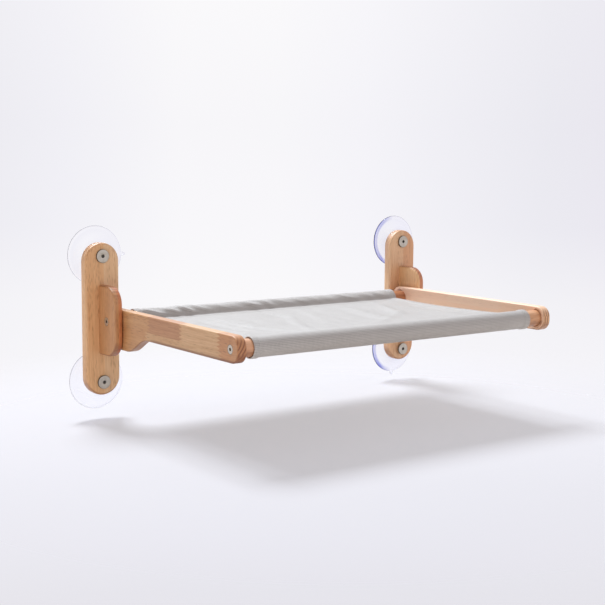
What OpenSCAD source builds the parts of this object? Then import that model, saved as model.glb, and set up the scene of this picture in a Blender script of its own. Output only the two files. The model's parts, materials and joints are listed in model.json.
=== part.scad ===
// Cat perch for a window: two wood mounts on suction cups, and a canvas bed on a wood frame that folds up.
// Millimetres. X runs along the dowels, +Y goes into the window, +Z is up.
// The origin lies on the window's face, midway between the mounts and level with the pivot.

/* [Back plates] */
// Distance between the two mounts' centres
mount_span = 528; // [420:1:700]
// Width of a back plate
plate_w = 50; // [44:1:70]
// Distance from a cup bolt's axis to the end of its back plate
plate_end = 18; // [15:0.5:30]
// Thickness of a back plate
plate_t = 15; // [12:0.5:24]
// Radius of the easing on a back plate's edges
plate_ease = 3; // [1:0.25:5]

/* [Suction cups] */
// Diameter of a suction cup
cup_d = 80; // [70:1:90]
// Distance between the two cups of one mount
cup_spacing = 172; // [160:1:190]
// Gap between the window and the back plates
cup_stand = 9; // [7.5:0.25:14]
// Thickness of a cup's skin at its rim
cup_rim_t = 1.5; // [1:0.1:2.5]
// Width of the flat lip that seals on the window
cup_lip_w = 4; // [2:0.5:8]
// Diameter of a cup's hub
hub_d = 24; // [20:0.5:30]
// Depth of the hub's recess in the back plate
hub_recess = 5; // [3:0.25:8]
// Length of a cup's pull tab
tab_l = 6; // [4:0.5:10]
// Width of a cup's pull tab
tab_w = 7; // [5:0.5:10]

/* [Cup bolts] */
// Diameter of a cup bolt's disc head
bolt_head_d = 18.5; // [14:0.5:22]
// Thickness of a cup bolt's disc head
bolt_head_t = 2.6; // [2:0.1:3]
// Distance that the lower right bolt stands out of its seat
loose_bolt_gap = 3.5; // [0:0.25:4]

/* [Screws and inserts] */
// Diameter of every bolt's and screw's shank
shank_d = 6; // [5:0.5:8]
// Diameter of a countersunk screw's head
screw_head_d = 11.5; // [10:0.5:13]
// Size across the flats of every hex socket
socket_af = 4; // [3:0.5:5]
// Wall of a threaded insert, round the shank
insert_wall = 1.75; // [1.25:0.25:3]
// Length of a dowel's threaded insert
insert_l = 15; // [10:0.5:25]
// Thickness of the washer between a cheek and an arm
washer_t = 0.8; // [0.5:0.1:2]
// Diameter of that washer
washer_d = 17; // [14:0.5:24]
// Diameter of a wood screw behind a back plate
wood_screw_d = 4; // [3:0.25:5]
// Length of a wood screw
wood_screw_l = 40; // [32:1:46]
// Distance from the pivot's height to each wood screw
wood_screw_offset = 30; // [24:1:34]

/* [Cheek blocks] */
// Thickness of a cheek block
cheek_t = 12; // [10:0.5:20]
// Distance that a cheek block stands out of its plate
cheek_depth = 46; // [42:1:60]
// Height of a cheek block
cheek_h = 94; // [84:1:110]
// Radius of a cheek block's two front corners
cheek_corner_r = 23; // [10:0.5:26]
// Radius of the easing on a cheek block's edges
cheek_ease = 2.5; // [1:0.25:4]

/* [Arms] */
// Thickness of an arm
arm_t = 13; // [11:0.5:20]
// Height of an arm along its straight part
arm_h = 33; // [31:0.5:38]
// Distance between the two dowels' centres
arm_reach = 288; // [200:1:420]
// Distance from the pivot to the back plate's face
pivot_out = 22; // [20:0.5:28]
// Distance from the front dowel's centre to the arm's front end
front_overhang = 16; // [14:0.5:24]
// Radius of the corners at an arm's front end
front_corner_r = 14; // [6:0.5:15]
// Depth of the haunch below the arm's underside
haunch_drop = 21; // [10:0.5:28]
// Length of the haunch's flat underside, forward of the pivot
haunch_flat = 32; // [20:1:50]
// Length of the haunch's sweep up to the arm's underside
haunch_sweep = 56; // [30:1:80]
// Radius of the easing on an arm's edges
arm_ease = 1.75; // [0.75:0.25:3]

/* [Dowels] */
// Diameter of both dowels
dowel_d = 22; // [18:0.5:28]
// Depth that a dowel's end sits in an arm
dowel_seat = 4; // [2:0.5:6]

/* [Bed] */
// Gap between an arm and the bed's end, with the bed in the middle
bed_gap = 18; // [12:0.5:40]
// Distance that the bed has slid towards the left arm
bed_shift = 5; // [0:0.5:10]
// Thickness of the canvas
cloth_t = 1.2; // [0.8:0.1:2]
// Slack between the rear dowel and its sleeve, on the radius
rear_slack = 1.4; // [0.4:0.1:2.5]
// Slack between the front dowel and its sleeve, on the radius
front_slack = 0.5; // [0.4:0.1:2.5]
// Distance from the rear sleeve's round part to its seam
rear_seam_gap = 1; // [0.5:0.5:6]
// Distance from the front sleeve's round part to its seam
front_seam_gap = 5; // [3:0.5:10]
// Width of the seam's turned back edge
seam_w = 12; // [6:0.5:20]
// Height of the rear seam over the dowel's centre
rear_seam_z = 1; // [-4:0.5:5]
// Height of the front seam over the dowel's centre
front_seam_z = 4; // [-4:0.5:5]
// Sag of the bed at its middle
bed_sag = 7; // [0:0.5:20]
// Height of the bed's soft creases
crease = 1.2; // [0:0.1:3]

/* [Hidden] */

$fn = 64;
// Overrun of every cut past the face that it opens
overrun = 1;
// Running clearance of the pivot screws in the cheeks, on the radius
run_clear = 0.08;
// Clearance of a fixed screw, bolt, insert, hub or dowel in its hole, on the radius
fit_clear = 0.1;
// Clearance that keeps a washer and a countersunk head off the cheek that turns beside them
side_clear = 0.12;
// Gap between the haunch and the plate that it bears on
stop_gap = 0.3;
// Radius of the corner under an arm's heel
heel_corner_r = 4;
// Depth of a hole past the end of what sits in it
hole_spare = 1;
// Height of the barbs on a threaded insert
barb = 0.5;
// Clearance of the canvas from a dowel where it pulls on it, and between its seam's two layers
cloth_clear = 0.35;
// Depth of a cup's hollow as a share of the gap that the cup stands in
hollow_share = 0.3;
// Outline of a cup's skin, as shares of the way from hub to lip and of the gap
skin_shares = [[0.45, 0.5], [0.05, 0.85]];
// Depth of every hex socket
socket_depth = 2.2;
// Chamfer on a disc head's rim
head_chamfer = 0.5;
// Rim height of a countersunk head, over its cone
head_rim = 0.6;
// Chamfer on a dowel's ends
dowel_chamfer = 1;

// Levels out from the window, along -Y
plate_back = -cup_stand;
plate_front = -cup_stand - plate_t;
pivot_y = plate_front - pivot_out;
front_y = pivot_y - arm_reach;
hub_top = plate_back - hub_recess;

// Levels out from the middle, along X
mount_x = mount_span / 2;
cheek_outer = mount_x + cheek_t / 2;
cheek_inner = mount_x - cheek_t / 2;
arm_outer = cheek_inner - washer_t - side_clear;
arm_inner = arm_outer - arm_t;
dowel_end = arm_inner + dowel_seat;

// Sizes that follow from their neighbours
plate_h = cup_spacing + 2 * plate_end;
bed_w = 2 * (arm_inner - bed_gap);
insert_d = shank_d + 2 * insert_wall;

// Screw and bolt lengths
cup_seat = cup_stand / 2;
bolt_l = plate_t + cup_seat - hole_spare;
insert_end = dowel_end - insert_l;
screw_tip = insert_end + barb;

wood_pale = [0.86, 0.68, 0.50];
wood_warm = [0.78, 0.58, 0.42];
steel = [0.72, 0.72, 0.70];
brass = [0.80, 0.64, 0.32];
clear_plastic = [0.80, 0.82, 0.95, 0.35];
canvas = [0.80, 0.79, 0.78];
nylon = [0.93, 0.93, 0.90];

// Points of an arc about a centre, from one angle to another
function arc(centre, r, from, to, steps) =
    [for (i = [0:steps]) let (a = from + (to - from) * i / steps)
        centre + r * [cos(a), sin(a)]];

function unit(v) = v / norm(v);

// The outline with each corner moved inwards, for a counterclockwise outline
function inset(outline, d) =
    let (n = len(outline))
    [for (i = [0:n - 1])
        let (
            before = unit(outline[i] - outline[(i + n - 1) % n]),
            after = unit(outline[(i + 1) % n] - outline[i]),
            normal_a = [-before[1], before[0]],
            normal_b = [-after[1], after[0]],
            middle = unit(normal_a + normal_b)
        )
        outline[i] + middle * d / (middle * normal_b)];

// A slab of an outline in the XY plane, from z = 0 to z = t, with rounded edges on both faces
module eased_slab(outline, t, ease, steps = 4) {
    n = len(outline);
    low = [for (i = [0:steps]) let (a = 90 * i / steps) [ease * (1 - sin(a)), ease * (1 - cos(a))]];
    high = [for (i = [steps:-1:0]) [low[i][0], t - low[i][1]]];
    levels = concat(low, high);
    rings = [for (level = levels) [for (p = inset(outline, level[0])) [p[0], p[1], level[1]]]];
    points = [for (ring = rings) each ring];
    last = len(levels) - 1;
    sides = [for (k = [0:last - 1]) for (i = [0:n - 1])
        let (j = (i + 1) % n)
        each [[k * n + i, (k + 1) * n + i, (k + 1) * n + j], [k * n + i, (k + 1) * n + j, k * n + j]]];
    bottom = [for (i = [0:n - 1]) i];
    top = [for (i = [n - 1:-1:0]) last * n + i];
    polyhedron(points = points, faces = concat([bottom], sides, [top]));
}

// Turns a slab's X and Y to the part's Y and Z, and its thickness to +X
module side_on(x) {
    translate([x, 0, 0]) rotate([90, 0, 90]) children();
}

// A cylinder along X between two levels
module rod_x(from, to, d) {
    translate([from, 0, 0]) rotate([0, 90, 0]) cylinder(h = to - from, d = d);
}

// A cylinder along -Y between two levels, the first nearer the window
module rod_y(from, to, d) {
    translate([0, from, 0]) rotate([90, 0, 0]) cylinder(h = from - to, d = d);
}

// A hex socket's prism of a given depth, standing on z = 0
module hex_prism(depth) {
    cylinder(h = depth, d = socket_af / cos(30), $fn = 6);
}

// Mirrors a left hand piece, which is drawn at +X, when side is -1
module on_side(side) {
    mirror([side < 0 ? 1 : 0, 0, 0]) children();
}

// Places a cup's piece on its bolt's axis: side is 1 for right, level is 1 for upper
module at_cup(side, level) {
    translate([side * mount_x, 0, level * cup_spacing / 2]) children();
}

module back_plate(side) {
    straight = (plate_h - plate_w) / 2;
    outline = concat(
        arc([0, straight], plate_w / 2, 0, 180, 16),
        arc([0, -straight], plate_w / 2, 180, 360, 16)
    );
    color(wood_pale)
    translate([side * mount_x, 0, 0])
    difference() {
        translate([0, plate_back, 0]) rotate([90, 0, 0]) eased_slab(outline, plate_t, plate_ease);
        for (level = [-1, 1]) translate([0, 0, level * cup_spacing / 2]) {
            rod_y(plate_back + overrun, plate_front - overrun, shank_d + 2 * fit_clear);
            rod_y(plate_back + overrun, hub_top, hub_d + 2 * fit_clear);
        }
        for (level = [-1, 1]) translate([0, plate_back, level * wood_screw_offset]) wood_screw(fit_clear);
    }
}

// A countersunk wood screw with its head's face at y = 0, driven towards -Y, drawn fatter by grow
module wood_screw(grow = 0) {
    head_r = wood_screw_d + grow;
    neck_r = wood_screw_d / 2 + grow;
    face = grow > 0 ? -overrun : 0;
    rotate([90, 0, 0]) rotate_extrude() polygon([
        [0, face],
        [head_r, face],
        [head_r, grow],
        [neck_r, grow + head_r - neck_r],
        [neck_r, wood_screw_l - wood_screw_d],
        [0, wood_screw_l + grow]
    ]);
}

module cheek_wood_screws(side) {
    color(steel)
    for (level = [-1, 1])
        translate([side * mount_x, plate_back, level * wood_screw_offset])
        difference() {
            wood_screw();
            rotate([90, 0, 0]) translate([0, 0, -overrun])
                hex_prism(wood_screw_d / 2 + overrun);
        }
}

module cheek_block(side) {
    r = cheek_corner_r;
    front = plate_front - cheek_depth;
    hidden = plate_front + cheek_ease + overrun;
    half = cheek_h / 2;
    outline = concat(
        [[hidden, -half], [hidden, half]],
        arc([front + r, half - r], r, 90, 180, 8),
        arc([front + r, -half + r], r, 180, 270, 8)
    );
    color(wood_warm)
    on_side(side)
    difference() {
        side_on(cheek_inner) eased_slab(outline, cheek_t, cheek_ease);
        translate([cheek_inner - overrun, plate_front, -cheek_h])
            cube([cheek_t + 2 * overrun, cheek_ease + 3 * overrun, 2 * cheek_h]);
        translate([0, pivot_y, 0]) {
            rod_x(cheek_inner - overrun, cheek_outer + overrun, shank_d + 2 * run_clear);
            screw_head(cheek_outer, side_clear);
        }
        for (level = [-1, 1])
            translate([mount_x, plate_back, level * wood_screw_offset]) wood_screw(fit_clear);
    }
}

// A countersunk head along X with its flat face at the given level, drawn fatter by grow
module screw_head(face, grow = 0) {
    head_r = screw_head_d / 2 + grow;
    neck_r = shank_d / 2;
    drop = head_rim + grow;
    outside = grow > 0 ? -overrun : 0;
    translate([face, 0, 0]) rotate([0, -90, 0]) rotate_extrude() polygon([
        [0, outside],
        [head_r, outside],
        [head_r, drop],
        [neck_r, drop + head_r - neck_r],
        [0, drop + head_r - neck_r]
    ]);
}

// A hex socket screw along X: its head's face, its tip and its place in Y
module socket_screw(side, face, y) {
    color(steel)
    on_side(side)
    translate([0, y, 0])
    difference() {
        union() {
            screw_head(face);
            rod_x(screw_tip, face - head_rim, shank_d);
        }
        translate([face - socket_depth, 0, 0]) rotate([0, 90, 0]) hex_prism(socket_depth + overrun);
    }
}

// A suction cup's skin and hub, with its tab turned to an angle about the bolt's axis
module suction_cup(side, level, tab_angle) {
    rim_r = cup_d / 2;
    hub_r = hub_d / 2;
    lip_r = rim_r - cup_lip_w;
    hollow = cup_stand * hollow_share;
    bead = cup_rim_t / 2;
    skin = [for (share = skin_shares) [hub_r + (lip_r - hub_r) * share[0], cup_stand * share[1]]];
    color(clear_plastic)
    at_cup(side, level)
    rotate([90, 0, 0])
    difference() {
        union() {
            rotate_extrude($fn = 96) polygon(concat(
                [[0, hollow], [lip_r / 2, hollow], [lip_r, 0]],
                arc([rim_r - bead, bead], bead, -90, 90, 6),
                [[lip_r, cup_rim_t + bead]],
                skin,
                [[hub_r, cup_stand], [hub_r, cup_stand + hub_recess], [0, cup_stand + hub_recess]]
            ));
            rotate([0, 0, tab_angle]) linear_extrude(cup_rim_t) polygon(concat(
                [[rim_r - cup_lip_w / 2, tab_w / 2], [rim_r - cup_lip_w / 2, -tab_w / 2]],
                arc([rim_r + tab_l - tab_w / 2, 0], tab_w / 2, -90, 90, 8)
            ));
        }
        translate([0, 0, cup_seat]) cylinder(h = cup_stand + hub_recess, d = insert_d + 2 * fit_clear);
    }
}

// A threaded insert from z = 0 to z = l, with two barbed rings
module threaded_insert(l) {
    r = insert_d / 2;
    bore = shank_d / 2 + fit_clear;
    rotate_extrude() polygon([
        [bore, 0], [r, 0], [r, l / 4], [r - barb, l / 4 + barb], [r - barb, l / 2],
        [r, l / 2 + barb], [r, l * 3 / 4], [r - barb, l * 3 / 4 + barb], [r - barb, l], [bore, l]
    ]);
}

module cup_insert(side, level) {
    color(brass)
    at_cup(side, level)
    translate([0, -cup_seat, 0]) rotate([90, 0, 0]) threaded_insert(cup_stand + hub_recess - cup_seat);
}

// A cup's bolt, whose head stands off the plate by the gap
module cup_bolt(side, level, gap) {
    r = bolt_head_d / 2;
    color(steel)
    at_cup(side, level)
    translate([0, plate_front - gap, 0])
    rotate([90, 0, 0])
    difference() {
        rotate_extrude() polygon([
            [0, -bolt_l],
            [shank_d / 2 - head_chamfer, -bolt_l],
            [shank_d / 2, head_chamfer - bolt_l],
            [shank_d / 2, 0],
            [r, 0],
            [r, bolt_head_t - head_chamfer],
            [r - head_chamfer, bolt_head_t],
            [0, bolt_head_t]
        ]);
        translate([0, 0, bolt_head_t - socket_depth]) hex_prism(socket_depth + overrun);
    }
}

// An arm's side view about the pivot, with the window to the right
// It starts at the top of the heel, which is the one corner that sees all the others
function arm_outline() =
    let (
        half = arm_h / 2,
        heel = pivot_out - stop_gap,
        low = -half - haunch_drop,
        toe = -arm_reach - front_overhang,
        steps = 10,
        heel_top = arc([heel - half, 0], half, 0, 90, steps)
    )
    concat(
        [heel_top[steps]],
        arc([toe + front_corner_r, half - front_corner_r], front_corner_r, 90, 180, steps),
        arc([toe + front_corner_r, front_corner_r - half], front_corner_r, 180, 270, steps),
        [for (i = [0:steps]) let (share = i / steps)
            [-haunch_flat - haunch_sweep * (1 - share), -half - haunch_drop * (1 - cos(180 * share)) / 2]],
        arc([heel - heel_corner_r, low + heel_corner_r], heel_corner_r, -90, 0, steps / 2),
        [for (i = [0:steps - 1]) heel_top[i]]
    );

module arm(side) {
    color(wood_pale)
    on_side(side)
    difference() {
        translate([0, pivot_y, 0]) side_on(arm_inner) eased_slab(arm_outline(), arm_t, arm_ease);
        for (y = [pivot_y, front_y]) translate([0, y, 0]) {
            rod_x(arm_inner - overrun, arm_outer + overrun, shank_d + 2 * fit_clear);
            rod_x(arm_inner - overrun, dowel_end, dowel_d + 2 * fit_clear);
        }
        translate([0, front_y, 0]) screw_head(arm_outer, fit_clear);
    }
}

module dowel(y) {
    r = dowel_d / 2;
    color(wood_pale)
    translate([0, y, 0])
    difference() {
        rotate([0, 90, 0]) rotate_extrude() polygon([
            [0, -dowel_end],
            [r - dowel_chamfer, -dowel_end],
            [r, dowel_chamfer - dowel_end],
            [r, dowel_end - dowel_chamfer],
            [r - dowel_chamfer, dowel_end],
            [0, dowel_end]
        ]);
        for (side = [-1, 1]) on_side(side)
            rod_x(insert_end - hole_spare, dowel_end + overrun, insert_d + 2 * fit_clear);
    }
}

module dowel_insert(side, y) {
    color(brass)
    on_side(side)
    translate([insert_end, y, 0]) rotate([0, 90, 0]) threaded_insert(insert_l);
}

module pivot_washer(side) {
    color(nylon)
    on_side(side)
    translate([0, pivot_y, 0])
    difference() {
        rod_x(arm_outer, arm_outer + washer_t, washer_d);
        rod_x(arm_outer - overrun, cheek_inner + overrun, shank_d + 2 * fit_clear);
    }
}

// The bed is one ribbon of canvas, drawn as its middle line in the YZ plane at each place along X
rear_loop_r = dowel_d / 2 + rear_slack + cloth_t / 2;
front_loop_r = dowel_d / 2 + front_slack + cloth_t / 2;
rear_loop = [pivot_y - rear_slack + cloth_clear, 0];
front_loop = [front_y + front_slack - cloth_clear, 0];
rear_seam_y = rear_loop[0] - rear_loop_r - rear_seam_gap;
front_seam_y = front_loop[0] + front_loop_r + front_seam_gap;
bed_left = -bed_w / 2 - bed_shift;
layer_drop = cloth_t + cloth_clear;
loop_steps = 14;
sheet_steps = 10;
width_steps = 12;

// Height of the bed at a share of its width and a share of its length from the rear seam
function bed_z(u, v) =
    rear_seam_z + (front_seam_z - rear_seam_z) * v
    - bed_sag * sin(180 * v) * (1 + 2 * sin(180 * u)) / 3
    + crease * sin(360 * (2 * u + v)) * sin(180 * u) * sin(180 * v);

function bed_point(u, v, drop = 0) =
    [rear_seam_y + (front_seam_y - rear_seam_y) * v, bed_z(u, v) - drop];

// Angle from a loop's centre to a seam, and half the angle that the loop leaves open there
function seam_angle(loop, seam) = atan2(seam[1] - loop[1], seam[0] - loop[0]);
function seam_spread(loop, r, seam) = acos(r / norm(seam - loop));

function bed_line(u) =
    let (
        fold = seam_w / (rear_seam_y - front_seam_y),
        rear_top = bed_point(u, 0),
        rear_low = bed_point(u, 0, layer_drop),
        front_top = bed_point(u, 1),
        front_low = bed_point(u, 1, layer_drop),
        rear_from = seam_angle(rear_loop, rear_low) + seam_spread(rear_loop, rear_loop_r, rear_low),
        rear_to = seam_angle(rear_loop, rear_top) - seam_spread(rear_loop, rear_loop_r, rear_top),
        front_from = seam_angle(front_loop, front_top) + seam_spread(front_loop, front_loop_r, front_top),
        front_to = seam_angle(front_loop, front_low) - seam_spread(front_loop, front_loop_r, front_low)
    )
    concat(
        [bed_point(u, fold, layer_drop), rear_low],
        arc(rear_loop, rear_loop_r, rear_from, rear_to + (rear_to < rear_from ? 360 : 0), loop_steps),
        [for (i = [0:sheet_steps]) bed_point(u, i / sheet_steps)],
        arc(front_loop, front_loop_r, front_from, front_to + (front_to < front_from ? 360 : 0), loop_steps),
        [front_low, bed_point(u, 1 - fold, layer_drop)]
    );

// The two faces of the ribbon, half a thickness to each side of its middle line
function ribbon_side(line, d) =
    let (last = len(line) - 1)
    [for (i = [0:last])
        let (
            before = unit(i == 0 ? line[1] - line[0] : line[i] - line[i - 1]),
            after = unit(i == last ? line[last] - line[last - 1] : line[i + 1] - line[i]),
            normal_a = [-before[1], before[0]],
            normal_b = [-after[1], after[0]],
            middle = unit(normal_a + normal_b)
        )
        line[i] + middle * d / (middle * normal_b)];

module fabric_bed() {
    lines = [for (i = [0:width_steps]) bed_line(i / width_steps)];
    n = len(lines[0]);
    section = [for (line = lines)
        concat(ribbon_side(line, cloth_t / 2), ribbon_side([for (i = [n - 1:-1:0]) line[i]], cloth_t / 2))];
    points = [for (i = [0:width_steps]) for (p = section[i])
        [bed_left + bed_w * i / width_steps, p[0], p[1]]];
    m = 2 * n;
    skin = [for (i = [0:width_steps - 1]) for (k = [0:m - 1])
        let (next = (k + 1) % m)
        each [
            [i * m + k, (i + 1) * m + k, (i + 1) * m + next],
            [i * m + k, (i + 1) * m + next, i * m + next]
        ]];
    ends = [for (i = [0, width_steps]) for (k = [0:n - 2])
        let (a = i * m + k, b = i * m + k + 1, c = i * m + m - 2 - k, d = i * m + m - 1 - k)
        each (i == 0 ? [[a, b, c], [a, c, d]] : [[a, c, b], [a, d, c]])];
    color(canvas) polyhedron(points = points, faces = concat(skin, ends));
}

back_plate(-1);  // left_back_plate
back_plate(1);  // right_back_plate
cheek_block(-1);  // left_cheek_block
cheek_block(1);  // right_cheek_block
cheek_wood_screws(-1);  // left_cheek_wood_screws
cheek_wood_screws(1);  // right_cheek_wood_screws
suction_cup(-1, 1, 0);  // upper_left_suction_cup
suction_cup(-1, -1, 80);  // lower_left_suction_cup
suction_cup(1, 1, -80);  // upper_right_suction_cup
suction_cup(1, -1, -90);  // lower_right_suction_cup
cup_insert(-1, 1);  // upper_left_cup_insert
cup_insert(-1, -1);  // lower_left_cup_insert
cup_insert(1, 1);  // upper_right_cup_insert
cup_insert(1, -1);  // lower_right_cup_insert
cup_bolt(-1, 1, 0);  // upper_left_cup_bolt
cup_bolt(-1, -1, 0);  // lower_left_cup_bolt
cup_bolt(1, 1, 0);  // upper_right_cup_bolt
cup_bolt(1, -1, loose_bolt_gap);  // lower_right_cup_bolt
arm(-1);  // left_arm
arm(1);  // right_arm
dowel(front_y);  // front_dowel
dowel(pivot_y);  // rear_dowel
socket_screw(-1, cheek_outer, pivot_y);  // left_pivot_screw
socket_screw(1, cheek_outer, pivot_y);  // right_pivot_screw
socket_screw(-1, arm_outer, front_y);  // left_front_screw
socket_screw(1, arm_outer, front_y);  // right_front_screw
pivot_washer(-1);  // left_pivot_washer
pivot_washer(1);  // right_pivot_washer
dowel_insert(-1, pivot_y);  // rear_dowel_left_insert
dowel_insert(1, pivot_y);  // rear_dowel_right_insert
dowel_insert(-1, front_y);  // front_dowel_left_insert
dowel_insert(1, front_y);  // front_dowel_right_insert
fabric_bed();
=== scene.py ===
import json
from functools import partial
from math import acos, atan2, cos, exp, hypot, pi, radians, sin

import bmesh
import bpy
from mathutils import Matrix, Vector, noise


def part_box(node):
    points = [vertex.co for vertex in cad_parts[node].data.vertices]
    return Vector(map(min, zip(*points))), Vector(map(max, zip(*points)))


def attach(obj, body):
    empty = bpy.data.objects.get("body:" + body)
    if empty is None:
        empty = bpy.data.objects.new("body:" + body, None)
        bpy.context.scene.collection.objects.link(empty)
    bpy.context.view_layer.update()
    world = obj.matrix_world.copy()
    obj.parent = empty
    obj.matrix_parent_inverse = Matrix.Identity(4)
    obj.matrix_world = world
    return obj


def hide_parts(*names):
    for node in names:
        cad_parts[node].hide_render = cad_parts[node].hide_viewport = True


# A window mounted cat perch, dressed for a studio picture.
# Lengths in the dictionaries are millimetres, and the model is in metres.
mm = 0.001

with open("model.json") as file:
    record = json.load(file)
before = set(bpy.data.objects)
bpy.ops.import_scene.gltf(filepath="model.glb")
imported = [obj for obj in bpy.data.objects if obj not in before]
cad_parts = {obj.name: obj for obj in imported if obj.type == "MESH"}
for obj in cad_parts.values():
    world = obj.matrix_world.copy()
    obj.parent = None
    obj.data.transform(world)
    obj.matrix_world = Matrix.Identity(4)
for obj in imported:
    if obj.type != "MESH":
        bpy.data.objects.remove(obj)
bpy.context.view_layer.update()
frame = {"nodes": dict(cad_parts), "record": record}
nodes = frame["nodes"]
scene = bpy.context.scene
print("frame loaded:", len(nodes), "nodes")


# Helpers

def linear(hexColour):
    # an sRGB hex colour as linear RGBA
    parts = [int(hexColour[i:i + 2], 16) / 255 for i in (1, 3, 5)]
    return tuple(c / 12.92 if c <= 0.04045 else ((c + 0.055) / 1.055) ** 2.4 for c in parts) + (1.0,)


def fill(node, inputs):
    # gives inputs, by name or in order, their values or links
    tree = node.id_data
    for place, value in inputs.items() if isinstance(inputs, dict) else enumerate(inputs):
        if isinstance(value, bpy.types.NodeSocket):
            tree.links.new(value, node.inputs[place])
        else:
            node.inputs[place].default_value = value


def addNode(tree, kind, inputs=(), output=0, **settings):
    # adds a node with its settings and inputs, and gives one of its outputs
    node = tree.nodes.new("ShaderNode" + kind)
    for name, value in settings.items():
        setattr(node, name, value)
    fill(node, inputs)
    return node.outputs[output]


def newMaterial(name):
    # a material, the function that adds its nodes, and its shader
    material = bpy.data.materials.new(name)
    material.use_nodes = True
    tree = material.node_tree
    return material, partial(addNode, tree), tree.nodes["Principled BSDF"]


def setRamp(node, stops, interpolation="LINEAR"):
    ramp = node.color_ramp
    ramp.interpolation = interpolation
    while len(ramp.elements) < len(stops):
        ramp.elements.new(0.5)
    for element, (place, colour) in zip(ramp.elements, stops):
        element.position = place
        element.color = linear(colour)


def dress(piece, material):
    piece.data.materials.clear()
    piece.data.materials.append(material)


def addObject(name, data):
    added = bpy.data.objects.new(name, data)
    scene.collection.objects.link(added)
    return added


def meshFrom(bm, name):
    mesh = bpy.data.meshes.new(name)
    bm.to_mesh(mesh)
    bm.free()
    return mesh


def spinProfile(bm, profile, steps):
    # turns a line of (radius, height) points round the Z axis
    chain = [bm.verts.new((x * mm, 0, z * mm)) for x, z in profile]
    for pair in zip(chain, chain[1:]):
        bm.edges.new(pair)
    bmesh.ops.spin(bm, geom=bm.verts[:] + bm.edges[:], cent=(0, 0, 0), axis=(0, 0, 1), angle=2 * pi,
                   steps=steps, use_merge=True)


def finishMesh(bm, node, material, body, sharpAngle=35):
    # turns a bmesh into the piece that takes a node's place, and names it after the node
    first, *rest = node.split("_")
    bmesh.ops.recalc_face_normals(bm, faces=bm.faces)
    mesh = meshFrom(bm, first + "".join(word.capitalize() for word in rest))
    mesh.shade_smooth()
    mesh.set_sharp_from_angle(angle=radians(sharpAngle))
    piece = addObject(mesh.name, mesh)
    dress(piece, material)
    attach(piece, body)
    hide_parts(node)
    return piece


def middleOf(node):
    low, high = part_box(node)
    return (low + high) / 2 / mm


def fromCentre(add, coords, middle, away, plane):
    # The place from the nearest of the centres, which lie away from a middle on both sides of it.
    # Plane leaves out the axis that they face along.
    place = add("VectorMath", [coords, Vector(middle) * mm], operation="SUBTRACT")
    place = add("VectorMath", [place], operation="ABSOLUTE")
    place = add("VectorMath", [place, Vector(away) * mm], operation="SUBTRACT")
    return add("VectorMath", [place, plane], operation="MULTIPLY")


def clamp(value, low=0.0, high=1.0):
    return max(low, min(high, value))


rearAxis, frontAxis = middleOf("rear_dowel"), middleOf("front_dowel")
boltAt = middleOf("upper_right_cup_bolt")    # the others lie across from it and below


# Camera, at the picture's viewing angle

view = {
    "place": (-1018.6, -1534.9, 230.0),
    "yaw": 35.74,
    "pitch": 7.01,
    "roll": -0.40,
    "focalPixels": 1242.4,
    "framePixels": 605,
    "sensor": 36.0,
}


def makeCamera():
    yaw, pitch, roll = (radians(view[k]) for k in ("yaw", "pitch", "roll"))
    ahead = Vector((sin(yaw) * cos(pitch), cos(yaw) * cos(pitch), -sin(pitch)))
    right = Vector((cos(yaw), -sin(yaw), 0))
    down = ahead.cross(right)
    rightRolled = right * cos(roll) + down * sin(roll)
    downRolled = down * cos(roll) - right * sin(roll)
    data = bpy.data.cameras.new("pictureCamera")
    data.sensor_width = view["sensor"]
    data.lens = view["focalPixels"] / view["framePixels"] * view["sensor"]
    turn = Matrix((rightRolled, -downRolled, -ahead)).transposed().to_4x4()
    scene.camera = addObject("pictureCamera", data)
    scene.camera.matrix_world = Matrix.Translation(Vector(view["place"]) * mm) @ turn


makeCamera()
scene.view_settings.view_transform = "Standard"
print("camera set")


# Floor, backdrop and lamp

studio = {
    "floorZ": -140,
    "floorSize": 24000,
    "floorHex": "#d3ced1",  # what the camera sees of the painted sweep, lit by the lamp
    "bounceHex": "#f4ece5",  # and what light it throws back on the perch
    "floorShare": 0.52,     # how far the floor covers the backdrop, which sets the shadow's depth
    "middle": (-90, -300, 0),  # what the shadow fades away from
    "fadeSpan": (300, 900),
    "skyHex": "#f9f9ff",
    "skyLow": 0.14,         # light from the horizon
    "skyHigh": 0.50,        # from straight above
    "front": 0.60,          # and from the front
    "frontSide": (0.35, -0.94, 0.0),
    "lampPlace": (-60, 1400, 2600),
    "lampAim": (0, -180, 0),
    "lampSize": 1300,
    "lampPower": 138,
    "lampHex": "#ebf6ff",
    # backdrop by the sine of the height of the line of sight
    "backdrop": [(-0.345, "#e7e5ea"), (-0.306, "#ebe9ee"), (-0.261, "#edebef"), (-0.210, "#f4f2f6"),
                 (-0.166, "#f8f7fa"), (-0.120, "#faf9fb"), (-0.060, "#f8f7fa"), (0.02, "#f7f6f9"),
                 (0.12, "#faf9fb")],
    # its tint from left to right, which comes in over a span of heights
    "sides": [(-0.235, "#f5f5f8"), (-0.19, "#f8f8fb"), (-0.10, "#ffffff"), (-0.02, "#ffffff"),
              (0.05, "#fcfcfe"), (0.12, "#f7f7fa"), (0.19, "#f2f2f6"), (0.235, "#f1f0f5")],
    "sidesSpan": (-0.20, -0.06),
    "right": (0.812, -0.584, 0.0),
}


def rampFrom(add, value, stops):
    # a colour ramp over the span of its stops
    first, last = stops[0][0], stops[-1][0]
    colour = add("ValToRGB", [add("MapRange", [value, first, last])])
    setRamp(colour.node, [((place - first) / (last - first), tint) for place, tint in stops])
    return colour


def seenRays(add):
    # 1 for rays from the camera, from gloss and through glass
    rays = add("LightPath").node.outputs
    some = add("Math", [rays["Is Camera Ray"], rays["Is Glossy Ray"]], operation="MAXIMUM")
    return add("Math", [some, rays["Is Transmission Ray"]], operation="MAXIMUM")


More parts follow.
